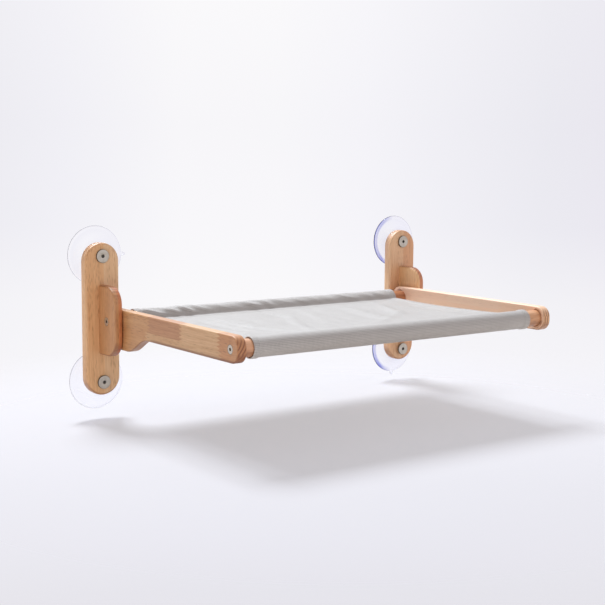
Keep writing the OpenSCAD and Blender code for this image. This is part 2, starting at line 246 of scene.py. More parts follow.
def makeFloor():
    material, add, shader = newMaterial("paintedSweep")
    coords = add("TexCoord", output="Object")
    away = add("VectorMath", [coords, Vector(studio["middle"]) * mm], "Value", operation="DISTANCE")
    low, high = studio["fadeSpan"]
    spans = [away, low * mm, high * mm, studio["floorShare"], 0.0]
    share = add("MapRange", spans, interpolation_type="SMOOTHSTEP")
    lit = add("BsdfDiffuse", {"Color": linear(studio["floorHex"])})
    bounce = add("BsdfDiffuse", {"Color": linear(studio["bounceHex"])})
    seen = add("MixShader", [share, add("BsdfTransparent"), lit])
    shown = add("MixShader", [seenRays(add), bounce, seen])
    fill(material.node_tree.nodes["Material Output"], [shown])
    material.node_tree.nodes.remove(shader)
    bm = bmesh.new()
    bmesh.ops.create_grid(bm, x_segments=8, y_segments=8, size=studio["floorSize"] / 2 * mm)
    bmesh.ops.translate(bm, vec=(0, 0, studio["floorZ"] * mm), verts=bm.verts)
    floor = addObject("studioFloor", meshFrom(bm, "studioFloor"))
    dress(floor, material)


def makeWorld():
    world = bpy.data.worlds.new("studioWorld")
    scene.world = world
    world.use_nodes = True
    add = partial(addNode, world.node_tree)
    direction = add("TexCoord", output="Generated")
    height = add("SeparateXYZ", [direction], "Z")
    strength = add("MapRange", [height, 0.0, 1.0, studio["skyLow"], studio["skyHigh"]])
    facing = add("VectorMath", [direction, studio["frontSide"]], "Value", operation="DOT_PRODUCT")
    facing = add("Math", [facing, 0.0], operation="MAXIMUM")
    strength = add("Math", [facing, studio["front"], strength], operation="MULTIPLY_ADD")
    soft = add("Background", {"Color": linear(studio["skyHex"]), "Strength": strength})
    side = add("VectorMath", [direction, studio["right"]], "Value", operation="DOT_PRODUCT")
    fade = add("MapRange", [height, *studio["sidesSpan"]])
    backdrop = rampFrom(add, height, studio["backdrop"])
    sides = rampFrom(add, side, studio["sides"])
    tint = add("Mix", {0: fade, 6: backdrop, 7: sides}, 2, data_type="RGBA", blend_type="MULTIPLY")
    wall = add("Background", {"Color": tint, "Strength": 1.0})
    both = add("MixShader", [seenRays(add), soft, wall])
    fill(world.node_tree.nodes["World Output"], [both])


def makeLamp():
    lamp = bpy.data.lights.new("overheadSoftbox", "AREA")
    lamp.shape = "DISK"
    lamp.size = studio["lampSize"] * mm
    lamp.energy = studio["lampPower"]
    lamp.color = linear(studio["lampHex"])[:3]
    softbox = addObject("overheadSoftbox", lamp)
    place = Vector(studio["lampPlace"]) * mm
    aim = Vector(studio["lampAim"]) * mm - place
    softbox.matrix_world = Matrix.Translation(place) @ aim.to_track_quat("-Z", "Y").to_matrix().to_4x4()


makeFloor()
makeWorld()
makeLamp()
print("floor and lamp set")


# Wood

# Rubberwood, planed, finger jointed from short lengths, edge glued, and coated with clear satin lacquer:
# pale honey, with short dark pores along the grain, soft bands and a broad quiet shine.
wood = {
    "paleHex": "#f2d2aa",
    "midHex": "#dcb287",
    "darkHex": "#b57c4c",
    "poreHex": "#8a5429",
    "endHex": "#bd8350",
    # the paler colour painted on pieces that stand in stronger light, as painted light
    "paintedLightHex": "#ffddc4",
    "fibre": 1.7,           # width of the fine fibres, their length, share and span of noise
    "fibreLength": 46,
    "fibreShare": 0.9,
    "fibreSpan": (0.36, 0.64),
    "band": 9,              # and of the broad bands
    "bandLength": 150,
    "bandShare": 0.6,
    "bandSpan": (0.38, 0.66),
    "pore": 1.35,           # and of the pores, drawn twice as coarse as life so that they show
    "poreLength": 13,
    "poreShare": 0.6,
    "poreSpan": (0.38, 0.16),
    "crowdSpan": (0.40, 0.60),  # the bands where pores crowd, and how many there are elsewhere
    "sparse": 0.15,
    "ring": 4.3,            # distance between growth rings, and how much they show on side grain
    "ringSide": 0.08,
    "ringBend": 2.4,
    "ringSharpness": 3.0,
    "endShare": 0.45,       # how much end grain darkens, because the lacquer soaks in
    "endSharpness": 1.6,
    "edgeShare": 0.6,       # painted shade: how much darker a face is where it looks down
    "edgeSpan": (-0.04, -0.40),
    "lowShadeShare": 0.7,        # and painted shade above an arm's lower edge, which fades over a span of heights
    "lowShadeSpan": (4.4, 2.4),
    "lowShadeFade": 16,
    "tooth": 5.0,           # pitch and length of the finger joints' teeth
    "toothLength": 8,
    "boardSpan": 480,       # the length that a board's tints cover
    "boardShift": 57,       # shifts that give each board and each length its own grain
    "lengthShift": 311,
    "roughness": (0.39, 0.54),
    "roughnessSpan": (0.2, 0.8),
    "coat": 0.5,
    "coatRoughness": 0.48,
    "relief": 0.08,
    "reliefShare": 0.3,
    "fibreRelief": 0.3,     # how much the fibres stand out beside the pores' depth
}

# For each piece: its grain's axis, the pith's place from its middle, the glue line across it, the slope of
# its grain, the tinted lengths of its two boards, each from a place on along the grain, and how much painted
# light makes it paler. The left arm also has the height of its lower edge and the place where its haunch
# starts.
woodLooks = {
    "left_back_plate": {
        "grain": "Z", "pith": (30, -60), "glue": -262, "tilt": 0.03,
        "first": [(-110, "#fde8d0")], "second": [(-110, "#fff5ea")]},
    "right_back_plate": {
        "grain": "Z", "pith": (-25, 50), "glue": 266, "tilt": -0.02, "paintedLight": 0.12,
        "first": [(-110, "#fff2e8")], "second": [(-110, "#f4d8c6")]},
    "left_cheek_block": {
        "grain": "Z", "pith": (20, 90), "glue": -264, "tilt": 0.05,
        "first": [(-60, "#debea0")], "second": [(-60, "#e9ae86")]},
    "right_cheek_block": {
        "grain": "Z", "pith": (-40, 70), "glue": 262, "tilt": -0.04, "paintedLight": 0.15,
        "first": [(-60, "#fff0d8")], "second": [(-60, "#e0ac90")]},
    "left_arm": {
        "grain": "Y", "pith": (-76, 62), "glue": -5, "tilt": 0.02, "lowEdge": (-16.5, -136),
        "first": [(-360, "#dcb899"), (-309, "#e6d6c2"), (-128, "#dec1a2")],
        "second": [(-360, "#dcb899"), (-305, "#eadac8"), (-216, "#cfad94"), (-136, "#dec3a6")]},
    # its near white tints and its painted light stand in for the stronger light on its inner face
    "right_arm": {
        "grain": "Y", "pith": (92, 8), "glue": 4, "tilt": -0.03, "paintedLight": 0.74,
        "first": [(-360, "#fff2e8"), (-120, "#fff4ee")],
        "second": [(-360, "#fff2e8"), (-262, "#fff7f2"), (-150, "#fff2ec")]},
    "front_dowel": {
        "grain": "X", "pith": (-18, 9), "glue": 400, "tilt": 0.01,
        "first": [(-300, "#f3d8d0"), (170, "#efd2c2")], "second": [(-300, "#ffffff")]},
    "rear_dowel": {
        "grain": "X", "pith": (12, -16), "glue": 400, "tilt": 0.01,
        "first": [(-300, "#cca080"), (150, "#d0a084")], "second": [(-300, "#ffffff")]},
}


def woodMaterial(node, look):
    grain = look["grain"]
    sideNames = {"X": ("Y", "Z"), "Y": ("X", "Z"), "Z": ("X", "Y")}[grain]
    material, add, shader = newMaterial("lacqueredRubberwood_" + node)
    coords = add("TexCoord").node.outputs
    inMm = add("VectorMath", {0: coords["Object"], "Scale": 1 / mm}, operation="SCALE")
    axes = add("SeparateXYZ", [inMm]).node.outputs
    along, sideA, sideB = (axes[name] for name in (grain, *sideNames))

    # two boards glued edge to edge, each finger jointed from lengths of its own tint
    across = sideB if grain == "Y" else sideA
    second = add("Math", [across, look["glue"]], operation="GREATER_THAN")
    tooth = add("Math", [across, wood["tooth"] / 2], operation="PINGPONG")
    slope = wood["toothLength"] / (wood["tooth"] / 2)
    jointed = add("Math", [tooth, slope, along], operation="MULTIPLY_ADD")
    tints = []
    for lengths in (look["first"], look["second"]):
        start, span = lengths[0][0], wood["boardSpan"]
        place = add("MapRange", [jointed, start, start + span])
        tints.append(add("ValToRGB", [place]))
        setRamp(tints[-1].node, [((at - start) / span, colour) for at, colour in lengths], "CONSTANT")
    tint = add("Mix", {0: second, 6: tints[0], 7: tints[1]}, 2, data_type="RGBA")
    # the grain starts afresh in every board and length
    along = add("Math", [second, wood["boardShift"], along], operation="MULTIPLY_ADD")
    green = add("SeparateXYZ", [tint], "Y")
    along = add("Math", [green, wood["lengthShift"], along], operation="MULTIPLY_ADD")
    sideA = add("Math", [along, look["tilt"], sideA], operation="MULTIPLY_ADD")
    inGrain = add("CombineXYZ", [along, sideA, sideB])
    inGrain = add("VectorMath", [inGrain, (0, *look["middle"])], operation="SUBTRACT")

    # fine fibres, broad bands and pores, all long in the grain's direction
    places = {}
    for name in ("fibre", "band", "pore"):
        size = (wood[name + "Length"], wood[name], wood[name])
        places[name] = add("VectorMath", [inGrain, size], operation="DIVIDE")
    fibre = add("TexNoise", {"Vector": places["fibre"], "Scale": 1.0, "Detail": 4.0, "Roughness": 0.65})
    band = add("TexNoise", {"Vector": places["band"], "Scale": 1.0, "Detail": 2.0, "Roughness": 0.5})
    pores = add("TexVoronoi", {"Vector": places["pore"], "Scale": 1.0, "Randomness": 1.0})
    pores = add("MapRange", [pores, *wood["poreSpan"]])
    crowds = add("MapRange", [band, *wood["crowdSpan"], wood["sparse"]])
    pores = add("Math", [pores, crowds], operation="MULTIPLY")
    # growth rings round the pith
    ringScale = pi / 10 / wood["ring"]    # the wave texture's period is pi / 10
    fromPith = add("VectorMath", [inGrain, (0, *look["pith"])], operation="SUBTRACT")
    ringAt = add("VectorMath", [fromPith, (ringScale / 50, ringScale, ringScale)], operation="MULTIPLY")
    rings = add("TexWave", {
        "Vector": ringAt, "Scale": 1.0, "Distortion": wood["ringBend"], "Detail": 2.0,
        "Detail Scale": 0.35, "Detail Roughness": 0.5,
    }, "Fac", wave_type="RINGS", rings_direction="X")

    normal = add("SeparateXYZ", [coords["Normal"]]).node.outputs
    endGrain = add("Math", [normal[grain]], operation="ABSOLUTE")
    endGrain = add("Math", [endGrain, wood["endSharpness"]], operation="POWER")
    sideGrain = add("Math", [1.0, endGrain], operation="SUBTRACT")
    pores = add("Math", [pores, sideGrain], operation="MULTIPLY")

    # the shades lie over one another, each by its share
    shades = {name: linear(wood[name + "Hex"])
              for name in ("pale", "mid", "dark", "pore", "end", "paintedLight")}
    shades["ring"] = add("Mix", {0: endGrain, 6: shades["dark"], 7: shades["pore"]}, 2, data_type="RGBA")
    shares = {}
    # fibre and band are the wood's own tone; the edge share is painted shade where a face looks down
    for name, value in (("fibre", fibre), ("band", band), ("edge", normal["Z"])):
        shares[name] = add("MapRange", [value, *wood[name + "Span"], 0.0, wood[name + "Share"]])
    ringSide = wood["ringSide"]
    ringMost = add("Math", [endGrain, 1 - ringSide, ringSide], operation="MULTIPLY_ADD")
    rings = add("Math", [rings, wood["ringSharpness"]], operation="POWER")
    # end grain, rings and pores are the wood's own; side grain is also painted paler by each piece's share of
    # painted light
    for name, value, most in (("end", endGrain, wood["endShare"]), ("ring", rings, ringMost),
                              ("pore", pores, wood["poreShare"]),
                              ("paintedLight", sideGrain, look.get("paintedLight", 0.0))):
        shares[name] = add("Math", [value, most], operation="MULTIPLY")
    layers = [("fibre", "mid"), ("band", "mid"), ("end", "end"), ("ring", "ring"), ("pore", "pore"),
              ("paintedLight", "paintedLight"), ("edge", "pore")]
    # painted shade along the arm's lower edge, standing in for the shadow there
    if "lowEdge" in look:
        bottom, haunch = look["lowEdge"]
        lowEdgeShade = add("MapRange", [axes["Z"], *(bottom + height for height in wood["lowShadeSpan"])])
        spans = [axes["Y"], haunch, haunch - wood["lowShadeFade"], 0.0, wood["lowShadeShare"]]
        shares["low"] = add("Math", [lowEdgeShade, add("MapRange", spans)], operation="MULTIPLY")
        layers.append(("low", "pore"))
    colour = shades["pale"]
    for share, shade in layers:
        colour = add("Mix", {0: shares[share], 6: colour, 7: shades[shade]}, 2, data_type="RGBA")
    colour = add("Mix", {0: 1.0, 6: colour, 7: tint}, 2, data_type="RGBA", blend_type="MULTIPLY")

    roughness = add("MapRange", [fibre, *wood["roughnessSpan"], *wood["roughness"]])
    relief = add("Math", [fibre, wood["fibreRelief"]], operation="MULTIPLY")
    relief = add("Math", [relief, pores], operation="SUBTRACT")
    bump = add("Bump", {
        "Height": relief, "Strength": wood["reliefShare"], "Distance": wood["relief"] * mm})
    fill(shader, {
        "Base Color": colour, "Roughness": roughness, "Coat Weight": wood["coat"],
        "Coat Roughness": wood["coatRoughness"], "Normal": bump,
    })
    return material


def makeWood():
    record = frame["record"]
    bodies = {name: body for body, names in record["behaviour"]["bodies"].items() for name in names}
    for node, look in woodLooks.items():
        middle = middleOf(node)
        look["middle"] = {"X": middle.yz, "Y": middle.xz, "Z": middle.xy}[look["grain"]]
        bm = bmesh.new()
        bm.from_mesh(nodes[node].data)
        bmesh.ops.remove_doubles(bm, verts=bm.verts, dist=0.002 * mm)
        piece = finishMesh(bm, node, woodMaterial(node, look), bodies[node])
        piece.modifiers.new("evenShading", "WEIGHTED_NORMAL").keep_sharp = True
        print("wood:", piece.name, len(piece.data.polygons), "faces")


makeWood()


# Bolts and screws

# Nickel plated steel, turned and tumbled: warm grey, with a soft and slightly uneven shine
nickel = {
    "hex": "#dad2c5",
    "darkHex": "#b0a698",
    # painted shade on the heads' rims
    "rimShadeHex": "#7b746b",
    # painted shade in the sockets
    "socketShadeHex": "#57524c",
    "rimShadeFade": 0.3,
    "socketShadeFade": 0.35,
    "specks": 0.9,          # to a millimetre
    "stains": 0.16,         # to a millimetre
    "roughness": (0.22, 0.44),
    "relief": 0.05,
    "reliefShare": 0.25,
}

bolt = {
    "headR": 9.25,
    "headT": 2.6,
    "rimR": 0.6,
    "chamfer": 0.15,
    "shankR": 3.0,
    "length": 18.5,
    "socket": 4.4,          # across the flats
    "socketDepth": 2.6,
    "mouth": 0.35,          # width and depth of the socket's eased mouth
    "mouthDepth": 0.3,
    "drillPoint": 0.6,
    "pitch": 1.0,
    "thread": 0.35,         # depth of the thread
    "root": 0.05,           # how far its tooth is rooted in the core
    "toothShares": (0, 0.35, 0.5, 0.9),  # the tooth's corners along the pitch
    "coreFrom": 0.8,
    "threadFrom": 0.2,
    "threadShort": 1.4,     # length of shank that the thread leaves free
    # radii where the painted shade of the socket ends and that of the rim starts
    "socketShadeR": 2.55,
    "rimShadeFrom": 9.0,
    "steps": 48,
    "threadSteps": 32,
}

smallScrew = {"socketShadeR": 1.9, "rimShadeFrom": 5.5}


def nickelMaterial(name, look, middle, away, plane):
    # painted shade fills the heads' sockets and darkens their rims
    material, add, shader = newMaterial(name)
    coords = add("TexCoord", output="Object")
    place = fromCentre(add, coords, middle, away, plane)
    radius = add("VectorMath", [place], "Value", operation="LENGTH")
    socketShadeR, rimShadeFrom = look["socketShadeR"] * mm, look["rimShadeFrom"] * mm
    socketShade = add("MapRange", [radius, socketShadeR, socketShadeR - nickel["socketShadeFade"] * mm])
    # painted shade darkens the rim and the side of the head
    rim = add("MapRange", [radius, rimShadeFrom - nickel["rimShadeFade"] * mm, rimShadeFrom])
    specks = add("TexNoise", {"Vector": coords, "Scale": nickel["specks"] / mm, "Detail": 3.0})
    stains = add("TexNoise", {"Vector": coords, "Scale": nickel["stains"] / mm, "Detail": 2.0})
    colour = linear(nickel["hex"])
    for share, shade in ((stains, "darkHex"), (rim, "rimShadeHex"), (socketShade, "socketShadeHex")):
        colour = add("Mix", {0: share, 6: colour, 7: linear(nickel[shade])}, 2, data_type="RGBA")
    roughness = add("MapRange", [specks, 0.0, 1.0, *nickel["roughness"]])
    bump = add("Bump", {
        "Height": specks, "Strength": nickel["reliefShare"], "Distance": nickel["relief"] * mm})
    fill(shader, {"Base Color": colour, "Roughness": roughness, "Metallic": 1.0, "Normal": bump})
    return material


boltMaterial = nickelMaterial("nickelPlatedBoltSteel", bolt, (0, 0, 0), boltAt, (1, 0, 1))
screwMaterial = nickelMaterial("nickelPlatedScrewSteel", smallScrew, (rearAxis + frontAxis) / 2,
                               (rearAxis - frontAxis) / 2, (0, 1, 1))
for name in nodes:
    if name.endswith(("_screw", "_screws")):
        dress(nodes[name], screwMaterial)


def makeCupBolt(node):
    low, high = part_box(node)
    bm = bmesh.new()
    headR, headT, rim, chamfer = (bolt[k] for k in ("headR", "headT", "rimR", "chamfer"))
    cornerR = bolt["socket"] / 2 / cos(pi / 6)
    core = bolt["shankR"] - bolt["thread"]
    profile = [(cornerR + bolt["mouth"], headT), (headR - rim, headT)]
    profile += [(headR - rim * (1 - sin(turn)), headT - rim * (1 - cos(turn)))
                for turn in (pi / 6, pi / 3, pi / 2)]
    profile += [(headR, chamfer), (headR - chamfer, 0), (bolt["shankR"], 0)]
    profile += [(core, -bolt["coreFrom"]), (core, -bolt["length"])]
    spinProfile(bm, profile, bolt["steps"])
    # close the tip, then sink the hex socket
    tipEdges = [e for e in bm.edges if e.is_boundary and e.verts[0].co.z < 0]
    bmesh.ops.contextual_create(bm, geom=tipEdges)
    mouthEdges = [e for e in bm.edges if e.is_boundary]
    hexRing = bmesh.ops.create_circle(bm, segments=6, radius=cornerR * mm)["verts"]
    bmesh.ops.translate(bm, vec=(0, 0, (headT - bolt["mouthDepth"]) * mm), verts=hexRing)
    hexEdges = list({e for v in hexRing for e in v.link_edges})
    bmesh.ops.subdivide_edges(bm, edges=hexEdges, cuts=bolt["steps"] // 6 - 1)
    hexEdges = [e for e in bm.edges if e.is_wire]
    bmesh.ops.bridge_loops(bm, edges=mouthEdges + hexEdges)
    hexEdges = [e for e in bm.edges if e.is_boundary]
    sunk = bmesh.ops.extrude_edge_only(bm, edges=hexEdges)["geom"]
    bottom = [v for v in sunk if isinstance(v, bmesh.types.BMVert)]
    depth = bolt["socketDepth"] - bolt["mouthDepth"]
    bmesh.ops.translate(bm, vec=(0, 0, -depth * mm), verts=bottom)
    floorFace = bmesh.ops.contextual_create(bm, geom=[e for e in bm.edges if e.is_boundary])["faces"]
    centre = bmesh.ops.poke(bm, faces=floorFace)["verts"]
    bmesh.ops.translate(bm, vec=(0, 0, -bolt["drillPoint"] * mm), verts=centre)
    # the thread is one tooth drawn down the shank in a helix
    pitch, root = bolt["pitch"], core - bolt["root"]
    turns = int((bolt["length"] - bolt["threadShort"]) / pitch)
    reaches = (root, bolt["shankR"], bolt["shankR"], root)
    chain = [bm.verts.new((x * mm, 0, (-share * pitch - bolt["threadFrom"]) * mm))
             for x, share in zip(reaches, bolt["toothShares"])]
    thread = [bm.edges.new(pair) for pair in zip(chain, chain[1:])]
    steps = bolt["threadSteps"]
    bmesh.ops.spin(bm, geom=chain + thread, cent=(0, 0, 0), axis=(0, 0, 1), dvec=(0, 0, -pitch / steps * mm),
                   angle=2 * pi * turns, steps=steps * turns)
    # stand it in its place, head out from the window
    place = Matrix.Translation(((low.x + high.x) / 2, low.y + headT * mm, (low.z + high.z) / 2))
    bmesh.ops.transform(bm, matrix=place @ Matrix.Rotation(pi / 2, 4, "X"), verts=bm.verts)
    return finishMesh(bm, node, boltMaterial, "window_mounts")


for level in ("upper", "lower"):
    for side in ("left", "right"):
        makeCupBolt(f"{level}_{side}_cup_bolt")
print("bolts made")


# Inserts and washers

# Brass, turned: yellow, half bright
brass = {"hex": "#dcb765", "darkHex": "#b8923f", "specks": 0.4, "roughness": 0.3, "metallic": 1.0}
# Nylon, moulded: white, with a matt skin
nylon = {"hex": "#f2f1ec", "darkHex": "#e6e4dc", "specks": 0.7, "roughness": 0.55, "metallic": 0.0}


def speckledMaterial(name, look):
    # two shades in specks, which are counted to a millimetre
    material, add, shader = newMaterial(name)
    coords = add("TexCoord", output="Object")
    specks = add("TexNoise", {"Vector": coords, "Scale": look["specks"] / mm, "Detail": 2.0})
    shades = {0: specks, 6: linear(look["hex"]), 7: linear(look["darkHex"])}
    colour = add("Mix", shades, 2, data_type="RGBA")
    fill(shader, {"Base Color": colour, "Roughness": look["roughness"], "Metallic": look["metallic"]})
    return material


brassMaterial = speckledMaterial("turnedBrass", brass)
nylonMaterial = speckledMaterial("mouldedNylon", nylon)
for name in nodes:
    if name.endswith("_insert"):
        dress(nodes[name], brassMaterial)
    if name.endswith("_washer"):
        dress(nodes[name], nylonMaterial)
print("inserts and washers dressed")


# Suction cups

# Clear soft PVC, injection moulded: almost invisible face on, and blue violet where the eye looks along it
cup = {
    "rimR": 40,
    "lip": 4,               # width of the flat lip
    "rim": 1.5,             # thickness of the lip
    "hollow": 2.7,          # depth of the hollow, and how its dome bends
    "domeBend": 1.2,
    "slopeFrom": 1.25,      # where the upper side's slope starts, in lip thicknesses, and how it bends
    "slopeBend": 1.9,
    "hubR": 12,
    "stand": 9,             # height of the hub's foot
    "recess": 5,            # and how far the hub rises into the plate
    "ease": 0.5,
    "foot": 1.6,
    "footDrop": 0.6,
    "toe": 0.1,
    "bore": 4.85,
    "tabLength": 6,
    "tabWidth": 7,
    "tabShares": (1.0, 0.94, 0.80, 0.55),  # how the tab narrows in steps
    "tabEdge": 0.6,
    "tabs": {"upper_left": 0, "lower_left": 80, "upper_right": -80, "lower_right": -90},
    "skin": [(0.14, "#fcfcff"), (0.27, "#f5f5fe"), (0.62, "#d4d6f2")],    # by how far it turns away
    "lipHex": "#6c74d6",
    "lipSpan": (32.5, 36),  # where the lip's colour comes in, out from the middle
    "innerSpan": (-2, -24),  # towards the bed
    "rightSpan": (100, 200),  # and on the right mount
    "turnedSpan": (0.13, 0.20),
    "roughness": 0.04,
    "ior": 1.36,
    "steps": 96,
}


def cupMaterial():
    material, add, shader = newMaterial("clearSoftVinyl")
    facing = add("LayerWeight", {"Blend": 0.5}, "Facing")
    skin = add("ValToRGB", [facing])
    setRamp(skin.node, cup["skin"])
    # blue violet gathers in the thick lip where it is looked along, on its inner side
    coords = add("TexCoord", output="Object")
    place = fromCentre(add, coords, (0, 0, 0), boltAt, (1, 0, 1))
    radius = add("VectorMath", [place], "Value", operation="LENGTH")
    inward = add("SeparateXYZ", [place], "X")
    across = add("SeparateXYZ", [coords], "X")
    share = add("MapRange", [facing, *cup["turnedSpan"]])
    for value, span in ((radius, "lipSpan"), (inward, "innerSpan"), (across, "rightSpan")):
        part = add("MapRange", [value, *(place * mm for place in cup[span])])
        share = add("Math", [share, part], operation="MULTIPLY")
    colour = add("Mix", {0: share, 6: skin, 7: linear(cup["lipHex"])}, 2, data_type="RGBA")
    fill(shader, {
        "Base Color": colour, "Transmission Weight": 1.0, "Roughness": cup["roughness"], "IOR": cup["ior"],
    })
    return material


vinyl = cupMaterial()


def makeCup(key):
    bm = bmesh.new()
    rimR, rim, hubR, stand, ease, bore = (cup[k] for k in ("rimR", "rim", "hubR", "stand", "ease", "bore"))
    lipR, top = rimR - cup["lip"], stand + cup["recess"]
    # underside, from the middle out: a shallow dome and the flat lip
    profile = [(0, cup["hollow"])]
    profile += [(lipR * k / 8, cup["hollow"] * (1 + cos(pi * (k / 8) ** cup["domeBend"])) / 2)
                for k in range(1, 8)]
    profile += [(lipR, 0), (rimR - rim / 2, 0)]
    profile += [(rimR - rim / 2 + rim / 2 * sin(a), rim / 2 - rim / 2 * cos(a))
                for a in (pi / 4, pi / 2, 3 * pi / 4)]
    profile += [(rimR - rim / 2, rim)]
    # upper side, from the rim in: an S curve up to the hub
    edge = rim * cup["slopeFrom"]
    for k in range(13):
        share = k / 12
        rise = (stand - cup["footDrop"] - edge) * share ** cup["slopeBend"]
        profile.append((lipR + (hubR + cup["foot"] - lipR) * share, edge + rise))
    profile += [(hubR + ease, stand - cup["toe"]), (hubR, stand + ease), (hubR, top - ease)]
    profile += [(hubR - ease, top), (bore, top), (bore, stand / 2), (0, stand / 2)]
    spinProfile(bm, profile, cup["steps"])
    bmesh.ops.remove_doubles(bm, verts=bm.verts, dist=0.0005 * mm)
    bmesh.ops.recalc_face_normals(bm, faces=bm.faces)
    # the pull tab grows out of the rim
    tab = radians(cup["tabs"][key])
    halfAngle = cup["tabWidth"] / 2 / rimR
    outward, side = Vector((cos(tab), sin(tab), 0)), Vector((-sin(tab), cos(tab), 0))

    def turnFrom(face):
        centre = face.calc_center_median()
        gap = atan2(centre.y, centre.x) - tab
        return abs(atan2(sin(gap), cos(gap)))

    outer = [f for f in bm.faces
             if turnFrom(f) < halfAngle and f.calc_center_median().xy.length > (rimR - cup["tabEdge"]) * mm]
    for narrow in cup["tabShares"]:
        grown = bmesh.ops.extrude_face_region(bm, geom=outer)["geom"]
        bmesh.ops.delete(bm, geom=outer, context="FACES")
        outer = [f for f in grown if isinstance(f, bmesh.types.BMFace)]
        verts = [v for v in grown if isinstance(v, bmesh.types.BMVert)]
        bmesh.ops.translate(bm, vec=outward * (cup["tabLength"] / len(cup["tabShares"])) * mm, verts=verts)
        for v in verts:
            v.co -= side * (v.co.dot(side)) * (1 - narrow)
    centre = middleOf(key + "_cup_bolt") * mm
    place = Matrix.Translation((centre.x, 0, centre.z)) @ Matrix.Rotation(pi / 2, 4, "X")
    bmesh.ops.transform(bm, matrix=place, verts=bm.verts)
    return finishMesh(bm, key + "_suction_cup", vinyl, "window_mounts", 50)


for key in cup["tabs"]:
    makeCup(key)
print("cups made")


# Canvas bed

# Polyester and cotton canvas, woven plain and sewn: light grey, dry and matt, with a fine square weave
canvas = {
    "hex": "#c5bdb7",
    "shadeHex": "#867f79",
    "sheenHex": "#f4f8ff",
    "weave": 1.9,           # thread spacing, drawn twice as coarse as life so that it shows
    "weaveShare": 0.55,     # how much of the tone comes from the weave, the rest from uneven threads
    "toneSpan": (0.38, 0.62),
    "relief": 0.22,
    "reliefShare": 0.6,
    "roughness": 0.58,
    "specular": 0.6,
    "sheen": 0.2,
    "sheenRoughness": 0.35,
    "thickness": 0.9,
    "hem": 8.0,             # width of the turned hem at each end of the sleeves
    "hemLift": 1.0,         # distance between the hem's two layers
    "hemFade": 2.6,         # how far the cloth takes to lie down beside the hem
    "hemStitch": 6.2,       # distance of its stitch row from the edge
    "pinch": 0.28,          # how deep and wide the row pulls the cloth in
    "pinchWidth": 0.8,
    "flap": 12.0,           # width of the sleeve seam's turned edge
    "rearRun": 1.0,         # distance from the rear sleeve's round part to its seam
    "frontRun": 5.0,        # and from the front sleeve's
    "drop": 1.12,           # distance between the seam's two layers
    "rearR": 13.0,
    "rearPull": 1.05,       # how far the stretched bed draws the sleeve forward on its dowel
    "rearSeamZ": 1.0,
    "frontR": 12.1,
    "frontPull": 0.15,
    "frontSeamZ": 4.0,
    "corner": 1.2,          # over what length the cloth rounds its corners
    "sag": 7.0,
    "ripple": 0.35,         # height of its small ripples, their length and how they bend
    "rippleLength": 6.2,
    "rippleBend": 3,
    "rippleSize": (90, 140),
    "swell": 0.9,           # height and size of its broad unevenness
    "swellSize": (42, 110),
    "column": 3.2,          # distance between the mesh's columns
}

# Soft folds of the bed, as ridges from one plan point to another, with a half width and a height
folds = [
    ((-133, -94), (-130, -183), 4.5, 2.1), ((-130, -183), (-103, -268), 5, 1.9),
    ((-29, -130), (-92, -275), 7, 1.9), ((162, -82), (126, -181), 8, 2.1), ((126, -181), (66, -225), 9, 1.8),
    ((-204, -85), (-172, -230), 8, 1.6), ((24, -75), (-6, -190), 9, 1.4),
    ((98, -75), (84, -180), 9, 1.4), ((10, -320), (40, -240), 8, 1.1),
    ((-157, -120), (-153, -190), 7, -1.7), ((-46, -75), (-34, -115), 7, -1.8),
    ((120, -320), (96, -250), 9, 1.1), ((200, -120), (196, -170), 10, -1.7),
]
foldFade = 2.2    # how far a fold runs out past its ends, in half widths

# Spiral pulls in the sleeves
pulls = {
    "pitch": 31,            # along the dowel
    "lean": 2.1,            # how far along they go for each millimetre up from the seam
    "wander": 0.8,
    "wanderSize": (60, 40),
    "height": 0.7,          # all along the rear sleeve, and what its left end has besides
    "leftHeight": 2.4,
    "leftLength": 110,
    "share": 0.75,          # how many of them show, and how much that varies
    "vary": 1.2,
    "varySize": (34, 50),
    "sharpness": 1.7,
    "lumps": 0.45,          # height of the lumps between them, as a share
    "lumpLean": 1.5,
    "lumpSize": (15, 9),
    "reach": 20,            # how far up from the seam they are strong
    "reachFade": 8,
    "hidden": 0.22,         # and how strong they are behind, and at the sleeves' ends
    "ends": 0.35,
    "strength": (0.7, 1.6),  # the least, the most at the seam, and the length in which it falls by 1
    "strengthFade": 24,
    "margin": 2,            # how far past the sleeve's round part they run, and how fast they rise there
    "rise": 8,
    "fall": 4,
    "front": 0.16,          # height of the faint ones in the front sleeve
    "frontSize": (9, 40),
    "frontFade": 10,
}

bedLow, bedHigh = (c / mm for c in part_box("fabric_bed"))
rearC = (rearAxis.y - canvas["rearPull"], rearAxis.z)
frontC = (frontAxis.y + canvas["frontPull"], frontAxis.z)
rearSeamY = rearC[0] - canvas["rearR"] - canvas["rearRun"]
frontSeamY = frontC[0] + canvas["frontR"] + canvas["frontRun"]


def unevenness(x, y, size, seed):
    # smooth random heights between -1 and 1, in patches of a size
    return noise.noise((x / size[0], y / size[1], seed))


def foldHeight(x, y):
    total = 0
    for (ax, ay), (bx, by), width, height in folds:
        length = hypot(bx - ax, by - ay)
        dx, dy = (bx - ax) / length, (by - ay) / length
        along = (x - ax) * dx + (y - ay) * dy
        across = (x - ax) * dy - (y - ay) * dx
        past = max(0.0, -along, along - length)
        total += height * exp(-(across / width) ** 2 - (past / (foldFade * width)) ** 2)
    return total


def sheetY(share):
    return rearSeamY + (frontSeamY - rearSeamY) * share


